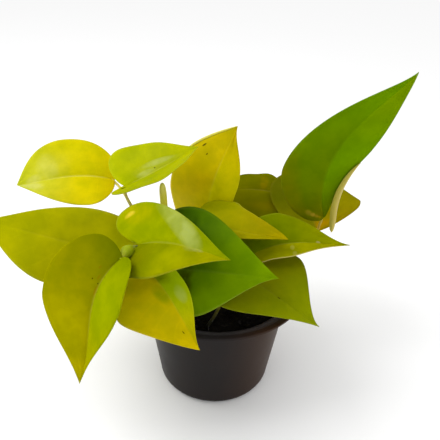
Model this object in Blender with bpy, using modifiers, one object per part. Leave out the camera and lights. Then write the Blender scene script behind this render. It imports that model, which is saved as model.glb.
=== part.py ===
"""A golden pothos in a round nursery pot: pot, soil, stems with their petioles, and heart-shaped leaves.

Origin: the centre of the pot's underside. +Z is up, +X to the right and +Y to the back as seen from the front.
Blender works in metres. The driving dimensions below are in millimetres, and MM turns them into metres.
"""

import math
from dataclasses import dataclass

import bmesh
import bpy
from mathutils import Vector

MM = 0.001

# Driving dimensions of the pot, in millimetres
RIM_RADIUS = 52.5
RIM_INNER_RADIUS = 48.9
POT_HEIGHT = 69.3
NECK_RADIUS = 42.6
NECK_DROP = 8.0
FOOT_RADIUS = 34.5
FOOT_ROUND = 5.4
WALL = 1.5
FLOOR = 1.8
DRAIN_HOLES = 5
DRAIN_RADIUS = 3.0
DRAIN_CIRCLE = 19.0
TURN_STEPS = 48

# The soil
SOIL_TOP = 57.0
SOIL_MOUND = 1.6
SOIL_LUMPS = 0.45
STEM_START = 60.5
HOLE_FLOOR = 40.0

# What touches keeps this much air
GAP = 0.3

# The plant stands this far to the right of the pot's middle
PLANT_OFFSET = Vector((0.8, 0.0, 0.0))

# Leaves, stems and petioles
BLADE_THICKNESS = 0.8
HALF_COLUMNS = 3
ROWS = 20
LOBE_SHARE = 0.5
ROW_FAN = 1.6
STEM_RADIUS = 2.0
PETIOLE_RADIUS = 1.0
PETIOLE_TIP_RADIUS = 0.75

MERGE = 0.00001


def start_clean():
    """Take away whatever the file opened with."""
    for thing in list(bpy.data.objects):
        bpy.data.objects.remove(thing, do_unlink=True)


def collection(name):
    made = bpy.data.collections.new(name)
    bpy.context.scene.collection.children.link(made)
    return made


def material(name, colour, roughness):
    made = bpy.data.materials.new(name)
    made.use_nodes = True
    shader = made.node_tree.nodes["Principled BSDF"]
    shader.inputs["Base Color"].default_value = (*colour, 1.0)
    shader.inputs["Roughness"].default_value = roughness
    shader.inputs["Metallic"].default_value = 0.0
    made.diffuse_color = (*colour, 1.0)
    return made


def add_object(name, data, folder, finish):
    made = bpy.data.objects.new(name, data)
    folder.objects.link(made)
    data.materials.clear()
    data.materials.append(finish)
    return made


def shade(data):
    """Round surfaces smooth, real edges sharp."""
    data.shade_smooth()
    data.set_sharp_from_angle(angle=math.radians(40))


def fixed_mesh(thing, name, folder, finish):
    """The object as its modifiers leave it, welded, as a plain mesh object in its place."""
    graph = bpy.context.evaluated_depsgraph_get()
    data = bpy.data.meshes.new_from_object(thing.evaluated_get(graph))
    weld = bmesh.new()
    weld.from_mesh(data)
    bmesh.ops.remove_doubles(weld, verts=weld.verts, dist=MERGE)
    weld.to_mesh(data)
    weld.free()
    matrix = thing.matrix_world.copy()
    bpy.data.objects.remove(thing, do_unlink=True)
    made = add_object(name, data, folder, finish)
    made.matrix_world = matrix
    shade(data)
    return made


def turned(name, profile, folder, finish, steps):
    """A body turned round Z from a profile of (radius, height) points in millimetres."""
    data = bpy.data.meshes.new(name)
    points = [(radius * MM, 0.0, height * MM) for radius, height in profile]
    edges = [(i, i + 1) for i in range(len(points) - 1)]
    data.from_pydata(points, edges, [])
    made = add_object(name, data, folder, finish)
    screw = made.modifiers.new("Turn", "SCREW")
    screw.axis = "Z"
    screw.steps = steps
    screw.render_steps = steps
    screw.use_merge_vertices = True
    screw.merge_threshold = MERGE
    bpy.context.view_layer.update()
    return fixed_mesh(made, name, folder, finish)


def arc(centre, radius, start, stop, count):
    """Points (radius, height) along an arc, angles in degrees from +radius towards +height."""
    angles = [math.radians(start + (stop - start) * i / count) for i in range(count + 1)]
    return [(centre[0] + radius * math.cos(a), centre[1] + radius * math.sin(a)) for a in angles]


def curve(a, b, c, d, t):
    """A point of the cubic curve with ends a and d and handles b and c."""
    s = 1.0 - t
    return a * s ** 3 + b * 3 * s * s * t + c * 3 * s * t * t + d * t ** 3


def flare(count):
    """The outside of the trumpet rim, from the neck up to the rim's edge."""
    neck = POT_HEIGHT - NECK_DROP
    slope = (NECK_RADIUS - FOOT_RADIUS) / (neck - FOOT_ROUND)
    ends = (
        Vector((NECK_RADIUS, neck)),
        Vector((NECK_RADIUS + 3.6 * slope, neck + 3.6)),
        Vector((RIM_RADIUS - 5.4, POT_HEIGHT - 2.1)),
        Vector((RIM_RADIUS, POT_HEIGHT - 1.3)),
    )
    return [tuple(curve(*ends, i / count)) for i in range(count + 1)]


def wall_radius(height):
    """The outer radius of the straight wall at a height."""
    low = FOOT_ROUND
    high = POT_HEIGHT - NECK_DROP
    share = (height - low) / (high - low)
    return FOOT_RADIUS + (NECK_RADIUS - FOOT_RADIUS) * share


def inner_radius(height):
    return wall_radius(height) - WALL


def make_pot(folder, cutters):
    finish = material("pot plastic", (0.036, 0.029, 0.029), 0.45)
    outside = flare(6)
    inside = [(radius - 1.0, height + 1.35) for radius, height in outside[:-2]]
    inside[0] = (inner_radius(outside[0][1]), outside[0][1])
    lip = [(RIM_INNER_RADIUS, POT_HEIGHT - 0.2), (RIM_INNER_RADIUS + 0.6, POT_HEIGHT)]
    edge = [(RIM_RADIUS - 0.5, POT_HEIGHT), (RIM_RADIUS, POT_HEIGHT - 0.5)]
    floor_corner = FOOT_ROUND - WALL
    floor_round = arc((inner_radius(FLOOR + floor_corner) - floor_corner, FLOOR + floor_corner),
                      floor_corner, -90, 0, 3)
    inner = [(0.0, FLOOR)] + floor_round + inside[:-1] + lip
    outer = edge + outside[::-1]
    foot = arc((FOOT_RADIUS - FOOT_ROUND, FOOT_ROUND), FOOT_ROUND, 0, -90, 5) + [(0.0, 0.0)]
    pot = turned("pot", inner + outer + foot, folder, finish, TURN_STEPS)

    mesh = bmesh.new()
    for i in range(DRAIN_HOLES):
        turn = 2 * math.pi * i / DRAIN_HOLES
        made = bmesh.ops.create_cone(mesh, cap_ends=True, segments=16, radius1=DRAIN_RADIUS * MM,
                                     radius2=DRAIN_RADIUS * MM, depth=3 * FLOOR * MM)
        place = Vector((math.cos(turn), math.sin(turn), 0.0)) * DRAIN_CIRCLE * MM
        bmesh.ops.translate(mesh, verts=made["verts"], vec=place)
    data = bpy.data.meshes.new("drain_cutter")
    mesh.to_mesh(data)
    mesh.free()
    cut(pot, add_object("drain_cutter", data, cutters, finish))
    return pot


def cut(thing, cutter):
    """Take the cutter's shape out of a mesh object, for good."""
    cutter.hide_render = True
    cutter.display_type = "WIRE"
    trim = thing.modifiers.new("Cut", "BOOLEAN")
    trim.operation = "DIFFERENCE"
    trim.solver = "EXACT"
    trim.object = cutter
    bpy.context.view_layer.update()
    graph = bpy.context.evaluated_depsgraph_get()
    data = bpy.data.meshes.new_from_object(thing.evaluated_get(graph))
    thing.modifiers.remove(trim)
    thing.data = data
    shade(data)


def lump(x, y):
    """How far the crumbly surface stands off its mean height, in millimetres."""
    broad = math.sin(0.21 * x + 0.4) * math.cos(0.17 * y - 0.9)
    fine = math.sin(0.53 * x - 0.37 * y + 1.7)
    return SOIL_LUMPS * (1.2 * broad + 0.8 * fine)


def make_soil(folder, cutters, stems):
    """The soil fills the pot, with a plain hole round every stem that stands in it."""
    finish = material("soil", (0.008, 0.006, 0.005), 0.95)
    low = FLOOR + GAP
    corner = FOOT_ROUND - WALL
    top_radius = inner_radius(SOIL_TOP) - GAP
    rings = 6
    top = [(top_radius * i / rings, SOIL_TOP + SOIL_MOUND * (1 - (i / rings) ** 2)) for i in range(rings + 1)]
    corner_centre = (inner_radius(FLOOR + corner) - corner - GAP, low + corner)
    bottom = arc(corner_centre, corner, 0, -90, 3) + [(0.0, low)]
    soil = turned("soil", top + bottom, folder, finish, TURN_STEPS)
    for vertex in soil.data.vertices:
        x, y, z = (value / MM for value in vertex.co)
        if z > SOIL_TOP + 0.1:
            vertex.co.z += lump(x, y) * MM

    mesh = bmesh.new()
    for route in stems:
        tall = SOIL_TOP + 3 * SOIL_MOUND - HOLE_FLOOR
        made = bmesh.ops.create_cone(mesh, cap_ends=True, segments=12, radius1=(route.radius + GAP + 0.15) * MM,
                                     radius2=(route.radius + GAP + 0.15) * MM, depth=tall * MM)
        foot = Vector(route.start) + PLANT_OFFSET
        place = Vector((foot.x, foot.y, HOLE_FLOOR + tall / 2)) * MM
        bmesh.ops.translate(mesh, verts=made["verts"], vec=place)
    data = bpy.data.meshes.new("stem_hole_cutter")
    mesh.to_mesh(data)
    mesh.free()
    cut(soil, add_object("stem_hole_cutter", data, cutters, finish))
    return soil


@dataclass
class Blade:
    """A heart-shaped leaf blade, in millimetres.

    base is where the petiole meets it, tip its far end, and right and left are the widest points of its
    halves, seen from the upper face with the tip up. arch bows the midrib towards the upper face and sway
    to the right, most at crest along it. lobe is how far each half reaches back past the base, full and
    taper shape its outline towards the tip, heel towards the base, sinus opens the notch between the lobes,
    and cup bends the halves down across, in degrees. Two values mean right and left.
    """

    base: tuple
    tip: tuple
    right: tuple
    left: tuple
    arch: float = 4.0
    sway: float = 0.0
    crest: float = 0.4
    lobe: tuple = (9.0, 9.0)
    full: tuple = (0.45, 0.45)
    taper: tuple = (0.16, 0.16)
    heel: tuple = (1.0, 1.0)
    sinus: tuple = (0.2, 0.2)
    cup: float = -15.0
    wave: float = 0.8

    def __post_init__(self):
        self.base, self.tip = Vector(self.base), Vector(self.tip)
        self.length = (self.tip - self.base).length
        self.along = (self.tip - self.base) / self.length
        self.face = Vector()
        self.side = Vector()
        marks = (Vector(self.right), Vector(self.left))
        self.shoulder = [(mark - self.base).dot(self.along) / self.length for mark in marks]
        # The bow moves the midrib along the face that it helps to find, so this settles in a few passes.
        for _ in range(6):
            arms = [mark - self.midrib(share) for mark, share in zip(marks, self.shoulder)]
            arms = [arm - self.along * arm.dot(self.along) for arm in arms]
            ways = [arm.normalized() for arm in arms]
            across = ways[0] - ways[1]
            self.side = (across - self.along * across.dot(self.along)).normalized()
            self.face = self.side.cross(self.along)
        bend = math.radians(self.cup) / 2
        self.half_width = [arm.length * bend / math.sin(bend) for arm in arms]
        self.fold = [math.atan2(way.dot(self.face), abs(way.dot(self.side))) - bend for way in ways]

    def midrib(self, u):
        """The point of the midrib at a share u of the blade's length, straight on behind the base."""
        steep = (1 - self.crest) / self.crest
        peak = self.crest * (1 - self.crest) ** steep
        on = min(max(u, 0.0), 1.0)
        bow = on * (1 - on) ** steep / peak + min(u, 0.0) / peak
        return self.base + self.along * (u * self.length) + (self.face * self.arch + self.side * self.sway) * bow

    def frame(self, u):
        """The midrib's direction, the upper face's normal and the way to the right, at u."""
        step = 0.0001
        ahead = (self.midrib(u + step) - self.midrib(u - step)).normalized()
        normal = (self.face - ahead * self.face.dot(ahead)).normalized()
        return ahead, normal, ahead.cross(normal)

    def place(self, x, y):
        """Where the flat blade's point (x, y) lies once the blade is bowed, folded, cupped and waved."""
        hand = 1 if x < 0 else 0
        width = self.half_width[hand]
        fold = self.fold[hand]
        curl = math.radians(self.cup) / width
        u = y / self.length
        _, normal, right = self.frame(u)
        turned_by = fold + curl * abs(x)
        out = (math.sin(turned_by) - math.sin(fold)) / curl
        rise = (math.cos(fold) - math.cos(turned_by)) / curl
        rise += self.wave * (x / width) ** 2 * math.sin(3 * math.pi * u + 1.3 * hand)
        return self.midrib(u) + right * math.copysign(out, x) + normal * rise

    def edge(self, hand, k):
        """The flat outline of one half at k, from 0 at the base round the lobe to 1 at the tip."""
        width = self.half_width[hand]
        lobe = self.lobe[hand]
        widest = Vector((width, self.shoulder[hand] * self.length))
        if k <= LOBE_SHARE:
            back = self.heel[hand] * (widest.y + 1.33 * lobe)
            return curve(Vector((0, 0)), Vector((self.sinus[hand] * width, -1.25 * lobe)),
                         Vector((width, widest.y - back)), widest, k / LOBE_SHARE)
        rest = self.length - widest.y
        return curve(widest, widest + Vector((0, self.full[hand] * rest)),
                     Vector((self.taper[hand] * width, self.length - 0.3 * rest)),
                     Vector((0, self.length)), (k - LOBE_SHARE) / (1 - LOBE_SHARE))

    def flat(self, s, k):
        """The flat point at s, from -1 at the left edge to 1 at the right one, in the row k of 0 to 1."""
        edge = self.edge(0 if s >= 0 else 1, k)
        middle = self.length * k ** ROW_FAN
        share = abs(s)
        # The rows sag towards the base between midrib and edge, as a leaf's side veins do.
        lag = 0.2 * edge.x * share * (1 - share) * math.sin(math.pi * k)
        x = math.copysign(edge.x * share, s) if s else 0.0
        return x, middle + (edge.y - middle) * share - lag

    def seat(self, arriving, radius):
        """Where a petiole that arrives in this direction ends: just clear of the underside at the base."""
        u = 1.2 / self.length
        _, normal, _ = self.frame(u)
        slant = math.sqrt(max(0.0, 1 - arriving.dot(normal) ** 2))
        droop = max(0.0, -math.tan(min(self.fold)))
        depth = BLADE_THICKNESS / 2 + GAP + 0.1 + radius * (slant + droop)
        return self.midrib(u) - normal * depth


LEAVES = {
    "leaf_upper_left": (Blade(
        base=(-65, 32, 116.5), tip=(-122, 26, 113.5), right=(-97.5, 52, 134), left=(-76, 12, 109.5),
        arch=2, sway=2.5, lobe=(5, 3), full=(0.26, 0.52), taper=(0.8, 0.43), heel=(0.52, 0.88)),
        (0.60, 0.53, 0.0)),
    "leaf_upper_middle": (Blade(
        base=(-54.5, 14, 121.5), tip=(-13.5, 20, 144.5), right=(-31.5, 3, 132.5), left=(-59.5, 36, 135),
        arch=-2, sway=-1, lobe=(14, 4.5), full=(0.8, 0.39), taper=(0.8, 0.33), heel=(0.73, 1.3),
        sinus=(0.08, 0.1)),
        (0.42, 0.44, 0.0)),
    "leaf_back_centre": (Blade(
        base=(-8, 30, 99), tip=(8.5, 42, 149.5), right=(9, 26, 113.5), left=(-31.5, 44, 113.5),
        arch=8, sway=-0.5, lobe=(12, 20), full=(0.57, 0.51), taper=(0.1, 0.68), heel=(1.15, 1.3)),
        (0.44, 0.38, 0.0)),
    "leaf_far_left": (Blade(
        base=(-55.5, -12, 91), tip=(-124, -18, 115), right=(-66.5, 9, 107), left=(-90.5, -30, 84),
        arch=1, sway=-0.5, lobe=(5.5, 6), full=(0.44, 0.4), taper=(0.31, 0.48), heel=(1.14, 1)),
        (0.32, 0.31, 0.0)),
    "leaf_front_left": (Blade(
        base=(-47, -42, 110), tip=(-68, -66, 49), right=(-87.5, -44, 92.5), left=(-43, -76, 103.5),
        arch=7, sway=2, crest=0.3, lobe=(3.5, 3.5), full=(0.18, 0.34), taper=(0.32, 0.03), heel=(0.88, 0.35),
        sinus=(0.34, 0.25)),
        (0.30, 0.30, 0.0)),
    "leaf_left_centre": (Blade(
        base=(-40, -30, 110.5), tip=(5.5, -56, 120.5), right=(-38, -54, 106.5), left=(-43.5, -2, 118.5),
        arch=2.5, sway=-2, lobe=(5, 30), full=(0.32, 0.26), taper=(0.16, 0.27), heel=(0.95, 0.15),
        sinus=(0.7, 0.6)),
        (0.35, 0.37, 0.0)),
    "leaf_front_centre": (Blade(
        base=(-39.5, -30, 97.5), tip=(-7.5, -66, 74.5), right=(-47, -62, 87.5), left=(-18.5, -36, 95.5),
        arch=4.5, sway=-1, lobe=(12, 9), full=(0.22, 0.43), taper=(0.44, 0.08)),
        (0.40, 0.36, 0.0)),
    "leaf_centre": (Blade(
        base=(-31, -16, 86), tip=(30.5, -40, 99.5), right=(-17.5, -40, 72.5), left=(-17.5, 3, 115.5),
        arch=4.5, lobe=(9, 10), full=(0.38, 0.38), taper=(0.07, 0.32), heel=(1, 1.1), cup=-22),
        (0.09, 0.22, 0.0)),
    "leaf_middle_right": (Blade(
        base=(-11.5, 8, 107.5), tip=(37, -14, 106.5), right=(-0.5, -12, 107), left=(5.5, 17, 113),
        arch=3, sway=7, full=(0.32, 0.18), taper=(0.25, 0.6)),
        (0.36, 0.31, 0.0)),
    "leaf_back_right": (Blade(
        base=(41.5, 50, 100.5), tip=(-3, 56, 100), right=(29, 82, 101.5), left=(20.5, 34, 97.5),
        arch=3.5, sway=-1, lobe=(6, 6), full=(0.78, 0.5), taper=(0.47, 0.3), heel=(1.1, 1)),
        (0.14, 0.14, 0.0)),
    "leaf_top_right": (Blade(
        base=(60.5, 14, 105.5), tip=(96, 10, 192), right=(82.5, 12, 151.5), left=(35.5, 16, 139.5),
        arch=3.5, sway=-15.5, crest=0.42, lobe=(28, 4.5), full=(0.45, 0.1), taper=(0.36, 0.23),
        heel=(0.15, 0.64), sinus=(0.14, 0.16)),
        (0.09, 0.20, 0.0)),
    "leaf_behind_right": (Blade(
        base=(60, 24, 90), tip=(61, 68, 117), right=(88.5, 42, 104), left=(31, 44, 107),
        arch=1.5, sway=-3.5, lobe=(1, 3), full=(0.1, 0.35), taper=(0.03, 0.13), heel=(0.82, 0.5)),
        (0.25, 0.24, 0.0)),
    "leaf_right": (Blade(
        base=(19, -4, 89.5), tip=(72, -10, 102), right=(34, -14, 94.5), left=(33, 12, 109),
        arch=3, sway=-3, lobe=(7.5, 8), full=(0.38, 0.12), taper=(0.03, 0.03), heel=(1.04, 0.86)),
        (0.20, 0.24, 0.0)),
    "leaf_lower_right": (Blade(
        base=(8, -3, 80), tip=(53.5, -44, 72.5), right=(2, -42, 82), left=(45, -2, 88.5),
        arch=5, sway=3.5, lobe=(12, 6), full=(0.1, 0.42), taper=(0.16, 0.06)),
        (0.15, 0.18, 0.0)),
}


@dataclass
class Route:
    """A round stem or petiole along one cubic curve: its two ends, the two handles and the radii, in mm."""

    start: tuple
    handle_a: tuple
    handle_b: tuple
    end: tuple
    radius: float = PETIOLE_RADIUS
    end_radius: float = PETIOLE_TIP_RADIUS
    buried: bool = False


def petiole(start, handle_a, handle_b, leaf, radius=PETIOLE_RADIUS, end_radius=PETIOLE_TIP_RADIUS):
    """A petiole from a stem to the underside of a leaf's base."""
    blade = LEAVES[leaf][0]
    arriving = (blade.base - Vector(handle_b)).normalized()
    end = tuple(blade.seat(arriving, end_radius))
    return Route(start, handle_a, handle_b, end, radius, end_radius)


def stem(start, handle_a, handle_b, end):
    """A stem that stands in the soil."""
    return Route(start, handle_a, handle_b, end, STEM_RADIUS, 0.8 * STEM_RADIUS, buried=True)


def lone_petiole(start, handle_a, handle_b, leaf):
    """A petiole whose stem is under the soil."""
    made = petiole(start, handle_a, handle_b, leaf)
    made.buried = True
    return made


# Each bundle of routes is one grown piece. The first route of each stands in the soil.
VINES = {
    "vine_left_front": [
        stem((-34, -5.5, STEM_START), (-36, -6, 68), (-40, -9, 76), (-41, -12, 84)),
        petiole((-40.9, -11.5, 83), (-42.5, -8, 86), (-49, -7.5, 86), "leaf_far_left"),
        petiole((-40.9, -11.5, 83), (-41.5, -14, 103.5), (-45.5, -30, 111), "leaf_front_left", 1.5, 1.7),
        petiole((-40.9, -11.5, 83), (-40, -14, 96), (-39, -20, 104), "leaf_left_centre"),
        petiole((-39.3, -8.3, 73.5), (-42, -14, 82), (-42, -22, 90), "leaf_front_centre"),
    ],
    "vine_left_back": [
        stem((-30, 14, STEM_START), (-32, 14, 72), (-39, 11, 84), (-44, 8, 98)),
        petiole((-43.7, 8.2, 97), (-54, 13.5, 112), (-57.5, 28, 111.5), "leaf_upper_left", 0.9, 0.65),
        petiole((-43.7, 8.2, 97), (-49.5, 12, 107), (-58.5, 13, 118.5), "leaf_upper_middle", 0.9, 0.65),
    ],
    "vine_middle": [
        stem((-14, 10, STEM_START), (-15, 10, 72), (-22, 12, 86), (-32.5, 14, 106)),
        petiole((-16, 10.3, 72), (-13, 26.5, 78), (-7.5, 38.5, 89), "leaf_back_centre"),
        petiole((-14.6, 10, 64), (-12, 13, 78), (-15, 14, 98), "leaf_middle_right"),
    ],
    "stem_centre": [
        lone_petiole((-20, -8, STEM_START), (-23, -8, 68), (-36, -10, 78), "leaf_centre"),
    ],
    "vine_right": [
        stem((22, 14, STEM_START), (25, 15, 68), (36, 16, 74), (42, 18, 79)),
        petiole((41.5, 17.8, 78.5), (58, 16.5, 82.5), (59.5, 19, 96), "leaf_top_right"),
        petiole((41.5, 17.8, 78.5), (48, 17, 82), (57, 18, 83), "leaf_behind_right"),
        petiole((34.5, 16, 72.5), (42, 24, 78), (49, 40, 84), "leaf_back_right"),
    ],
    "stem_right": [
        lone_petiole((11.5, 14, STEM_START), (11.5, 13, 74), (10.5, 9.5, 87.5), "leaf_right"),
    ],
    "stem_lower_right": [
        lone_petiole((-5, -33, STEM_START), (2, -28, 68.5), (6, -14, 73), "leaf_lower_right"),
    ],
}

# The leaf that is still rolled up, from the middle vine's end
ROLLED_START = (-32.8, 14.05, 107.3)
ROLLED_END = (-33.6, 14, 124.3)
ROLLED_RADIUS = 1.8
ROLLED_POINTS = 9


def make_leaf(name, blade, colour, folder):
    """A blade: a grid fanned over the outline, bent by the blade's formula, then given its thickness."""
    mesh = bmesh.new()
    bmesh.ops.create_grid(mesh, x_segments=2 * HALF_COLUMNS, y_segments=ROWS, size=1.0)
    for vertex in mesh.verts:
        s, k = vertex.co.x, (vertex.co.y + 1) / 2
        vertex.co = (blade.place(*blade.flat(round(s, 6), k)) + PLANT_OFFSET) * MM
    bmesh.ops.remove_doubles(mesh, verts=mesh.verts, dist=MERGE)
    bmesh.ops.triangulate(mesh, faces=mesh.faces)
    data = bpy.data.meshes.new(name)
    mesh.to_mesh(data)
    mesh.free()
    data.shade_smooth()
    leaf = add_object(name, data, folder, material(name, colour, 0.35))
    shell = leaf.modifiers.new("Thickness", "SOLIDIFY")
    shell.thickness = BLADE_THICKNESS * MM
    shell.offset = 0.0
    return leaf


def make_tube(name, points, radii, folder, finish, sides=2):
    """A round tube with filled ends through the points, in millimetres, with a radius at each."""
    data = bpy.data.curves.new(name, "CURVE")
    data.dimensions = "3D"
    data.bevel_depth = MM
    data.bevel_resolution = sides
    data.use_fill_caps = True
    line = data.splines.new("POLY")
    line.points.add(len(points) - 1)
    for knot, point, radius in zip(line.points, points, radii):
        knot.co = (*(Vector(point) * MM), 1.0)
        knot.radius = radius
    made = add_object(name, data, folder, finish)
    bpy.context.view_layer.update()
    return fixed_mesh(made, name, folder, finish)


def make_route(name, route, folder, finish):
    """One stem or petiole. A buried one goes straight down from its first point into its hole."""
    ends = [Vector(point) + PLANT_OFFSET for point in (route.start, route.handle_a, route.handle_b, route.end)]
    count = 8
    points = [curve(*ends, i / count) for i in range(count + 1)]
    radii = [route.radius + (route.end_radius - route.radius) * i / count for i in range(count + 1)]
    if route.buried:
        points.insert(0, Vector((ends[0].x, ends[0].y, HOLE_FLOOR + GAP)))
        radii.insert(0, route.radius)
    return make_tube(name, points, radii, folder, finish, 1 if route.radius < STEM_RADIUS else 2)


def make_vine(name, routes, folder, scrap):
    """A stem and the petioles that grow from it, joined in one body."""
    finish = material(name, (0.25, 0.22, 0.01), 0.5)
    body = make_route(name, routes[0], folder, finish)
    if len(routes) == 1:
        return body
    branches = [make_route(f"{name}_branch", route, scrap, finish) for route in routes[1:]]
    join = body.modifiers.new("Join", "BOOLEAN")
    join.operation = "UNION"
    join.solver = "EXACT"
    join.operand_type = "COLLECTION"
    join.collection = scrap
    bpy.context.view_layer.update()
    graph = bpy.context.evaluated_depsgraph_get()
    data = bpy.data.meshes.new_from_object(body.evaluated_get(graph))
    body.modifiers.remove(join)
    body.data = data
    shade(data)
    for branch in branches:
        bpy.data.objects.remove(branch, do_unlink=True)
    return body


def make_rolled_leaf(folder):
    """The new leaf: a slim spindle, widest near its middle and round at its tip."""
    start, end = Vector(ROLLED_START) + PLANT_OFFSET, Vector(ROLLED_END) + PLANT_OFFSET
    points = []
    radii = []
    for i in range(ROLLED_POINTS):
        share = i / (ROLLED_POINTS - 1)
        along = 1 - (1 - share) ** 1.5
        points.append(start.lerp(end, along))
        radii.append(ROLLED_RADIUS * math.sqrt(max(0.02, 1 - along ** 5)) * (0.8 + 0.2 * math.sin(math.pi * along)))
    return make_tube("leaf_rolled", points, radii, folder, material("leaf_rolled", (0.45, 0.42, 0.06), 0.5))


def main():
    start_clean()
    plant = collection("potted_pothos")
    cutters = collection("cutters")
    branches = collection("branches")
    make_pot(plant, cutters)
    make_soil(plant, cutters, [routes[0] for routes in VINES.values()])
    for name, routes in VINES.items():
        make_vine(name, routes, plant, branches)
    make_rolled_leaf(plant)
    for name, (blade, colour) in LEAVES.items():
        make_leaf(name, blade, colour, plant)


main()
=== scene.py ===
"""A golden pothos in a nursery pot: fine blades, stems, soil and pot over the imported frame, and a studio."""

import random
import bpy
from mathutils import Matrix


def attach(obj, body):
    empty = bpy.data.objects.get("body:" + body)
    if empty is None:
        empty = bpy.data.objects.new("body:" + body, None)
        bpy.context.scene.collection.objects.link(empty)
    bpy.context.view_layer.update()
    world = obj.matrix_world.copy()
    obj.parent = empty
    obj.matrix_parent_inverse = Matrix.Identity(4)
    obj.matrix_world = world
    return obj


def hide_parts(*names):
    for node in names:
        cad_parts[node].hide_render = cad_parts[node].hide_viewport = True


bl_info = {
    "name": "Golden pothos in a nursery pot",
    "version": (1, 0, 0),
    "blender": (4, 5, 0),
    "location": "3D View > Sidebar > Pothos",
    "description": "Models the leaves, stems, soil and pot of a small golden pothos, and its studio",
    "category": "Object",
}

from contextlib import contextmanager
from dataclasses import dataclass, replace
from math import atan2, copysign, cos, exp, hypot, pi, radians, sin, sqrt

import bmesh
import bpy
from bpy.props import FloatProperty, FloatVectorProperty, IntProperty, PointerProperty
from mathutils import Matrix, Vector, noise

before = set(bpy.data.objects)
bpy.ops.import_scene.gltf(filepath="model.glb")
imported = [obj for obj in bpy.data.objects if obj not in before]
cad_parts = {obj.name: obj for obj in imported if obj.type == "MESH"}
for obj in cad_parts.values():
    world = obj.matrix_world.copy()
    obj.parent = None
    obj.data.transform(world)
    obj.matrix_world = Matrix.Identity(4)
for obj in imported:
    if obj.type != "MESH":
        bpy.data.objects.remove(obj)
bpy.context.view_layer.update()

MM = 0.001
BODY = "root"

# The pot, in millimetres
RIM_RADIUS = 52.5
RIM_INNER_RADIUS = 48.9
POT_HEIGHT = 69.3
NECK_RADIUS = 42.6
NECK_DROP = 8.0
FOOT_RADIUS = 34.5
FOOT_ROUND = 5.4
WALL = 1.5
FLOOR = 1.8
CORNER = FOOT_ROUND - WALL
DRAIN_HOLES = 5
DRAIN_RADIUS = 3.0
DRAIN_CIRCLE = 19.0
DRAIN_SIDES = 40

# The trumpet rim: its curve's handles, the ends of its edge below the top, its rounding, and the step
# from its outer to its inner curve
FLARE_START = 3.6
FLARE_END = (5.4, 2.1)
EDGE_BOTTOM = 1.3
EDGE_TOP = 0.6
EDGE_ROUND = 0.5
LIP_INSET = 0.7
RIM_WALL = (1.0, 1.35)

# The soil, and the crumbs on it, which stay a margin away from the pot
SOIL_TOP = 57.0
SOIL_MOUND = 1.6
SOIL_SHOULDER = 4.0
SOIL_FOOT = 2.5
STEM_START = 60.5
GAP = 0.3
SOIL_GRID = (110, 110)
CRUMB_SIZE = 0.45
CRUMB_SPREAD = 1.5
CRUMB_MARGIN = 3.0
CRUMB_SEED = 11

# Flakes of bark on the soil: X, Y, length, width and turn in radians
FLAKES = ((-11.5, -31.5, 5.2, 1.7, 0.5), (14.0, -27.0, 2.6, 1.1, 1.9), (8.0, 24.0, 3.2, 1.3, 2.7))
FLAKE_THICKNESS = 0.7
FLAKE_SEED = 5

# Stems and petioles
PLANT_OFFSET = Vector((0.8, 0.0, 0.0))
STEM_RADIUS = 2.0
PETIOLE_RADIUS = 1.0
PETIOLE_TIP_RADIUS = 0.75
PETIOLE_REACH = 1.2
PETIOLE_DEPTH = 0.5
BURIED_DEPTH = 6.0
TUBE_STEPS = 40

# Swellings of stems and petioles: (share of the radius, length in mm), and where nodes and knee lie
NODES = (5.0, 14.0, 24.0, 36.0)
NODE_SWELLING = (0.12, 1.1)
TIP_SWELLING = (0.22, 3.2)
SHEATH_SWELLING = (0.35, 4.0)
KNEE_PLACE = 9.0
KNEE_LENGTH = 5.5

# The lobe's share of a blade's rows, how the rows crowd towards the base, and where the blade thins
LOBE_SHARE = 0.5
ROW_FAN = 1.6
THIN_FROM = 0.55

# The curled margins
HEM_THICKNESS = 0.4
HEM_LIFT = 0.25
HEM_GRID = (12, 90)

# The leaf that is still rolled up
ROLLED_START = (-32.6, 14.0, 105.5)
ROLLED_END = (-33.6, 14.0, 124.3)
ROLLED_RADIUS = 2.25
ROLLED_TURNS = 1.7
ROLLED_THICKNESS = 0.22
ROLLED_GRID = (72, 60)

# Points closer than this, in metres, become one
POT_WELD = 0.00001
SHEET_WELD = 0.000001

# Edges that bend more than this, in degrees, stay sharp
POT_CREASE = 35
SOIL_CREASE = 50
FLAKE_CREASE = 40

# The studio, in metres and degrees
FLOOR_SIZE = 6.0
KEY_SIZE = 0.5
KEY_PLACE = (-0.5, -0.06, 0.75)
KEY_AIM = (0.0, 0.0, 0.08)
CAMERA_PLACE = (0.0008, -0.252, 0.253)
CAMERA_TILT = 60.3
CAMERA_ROLL = 2.0
SENSOR_WIDTH = 36.0
CLIP_START = 0.01

# The soft inside of stems and leaves
FLESH = {"Subsurface_Weight": 0.5, "Subsurface_Scale": 0.001, "Subsurface_Radius": (1.0, 1.0, 0.2)}


class PotSettings(bpy.types.PropertyGroup):
    steps: IntProperty(name="Steps", description="Sides of the turned pot", default=144, min=24)
    colour: FloatVectorProperty(
        name="Colour", description="Colour of the moulded plastic", subtype="COLOR",
        default=(0.011, 0.0085, 0.008))
    # A painted reflection: the warm reddish sheen of the wall's right side is laid into its colour.
    sheen: FloatVectorProperty(
        name="Sheen colour", description="Colour of the wall's faded side", subtype="COLOR",
        default=(0.045, 0.018, 0.006))
    dust: FloatVectorProperty(
        name="Dust", description="Colour of the dry film on the plastic", subtype="COLOR",
        default=(0.032, 0.021, 0.017))
    roughness: FloatProperty(
        name="Roughness", description="How dull the plastic is", subtype="FACTOR",
        default=0.42, min=0.0, max=1.0)


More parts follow.
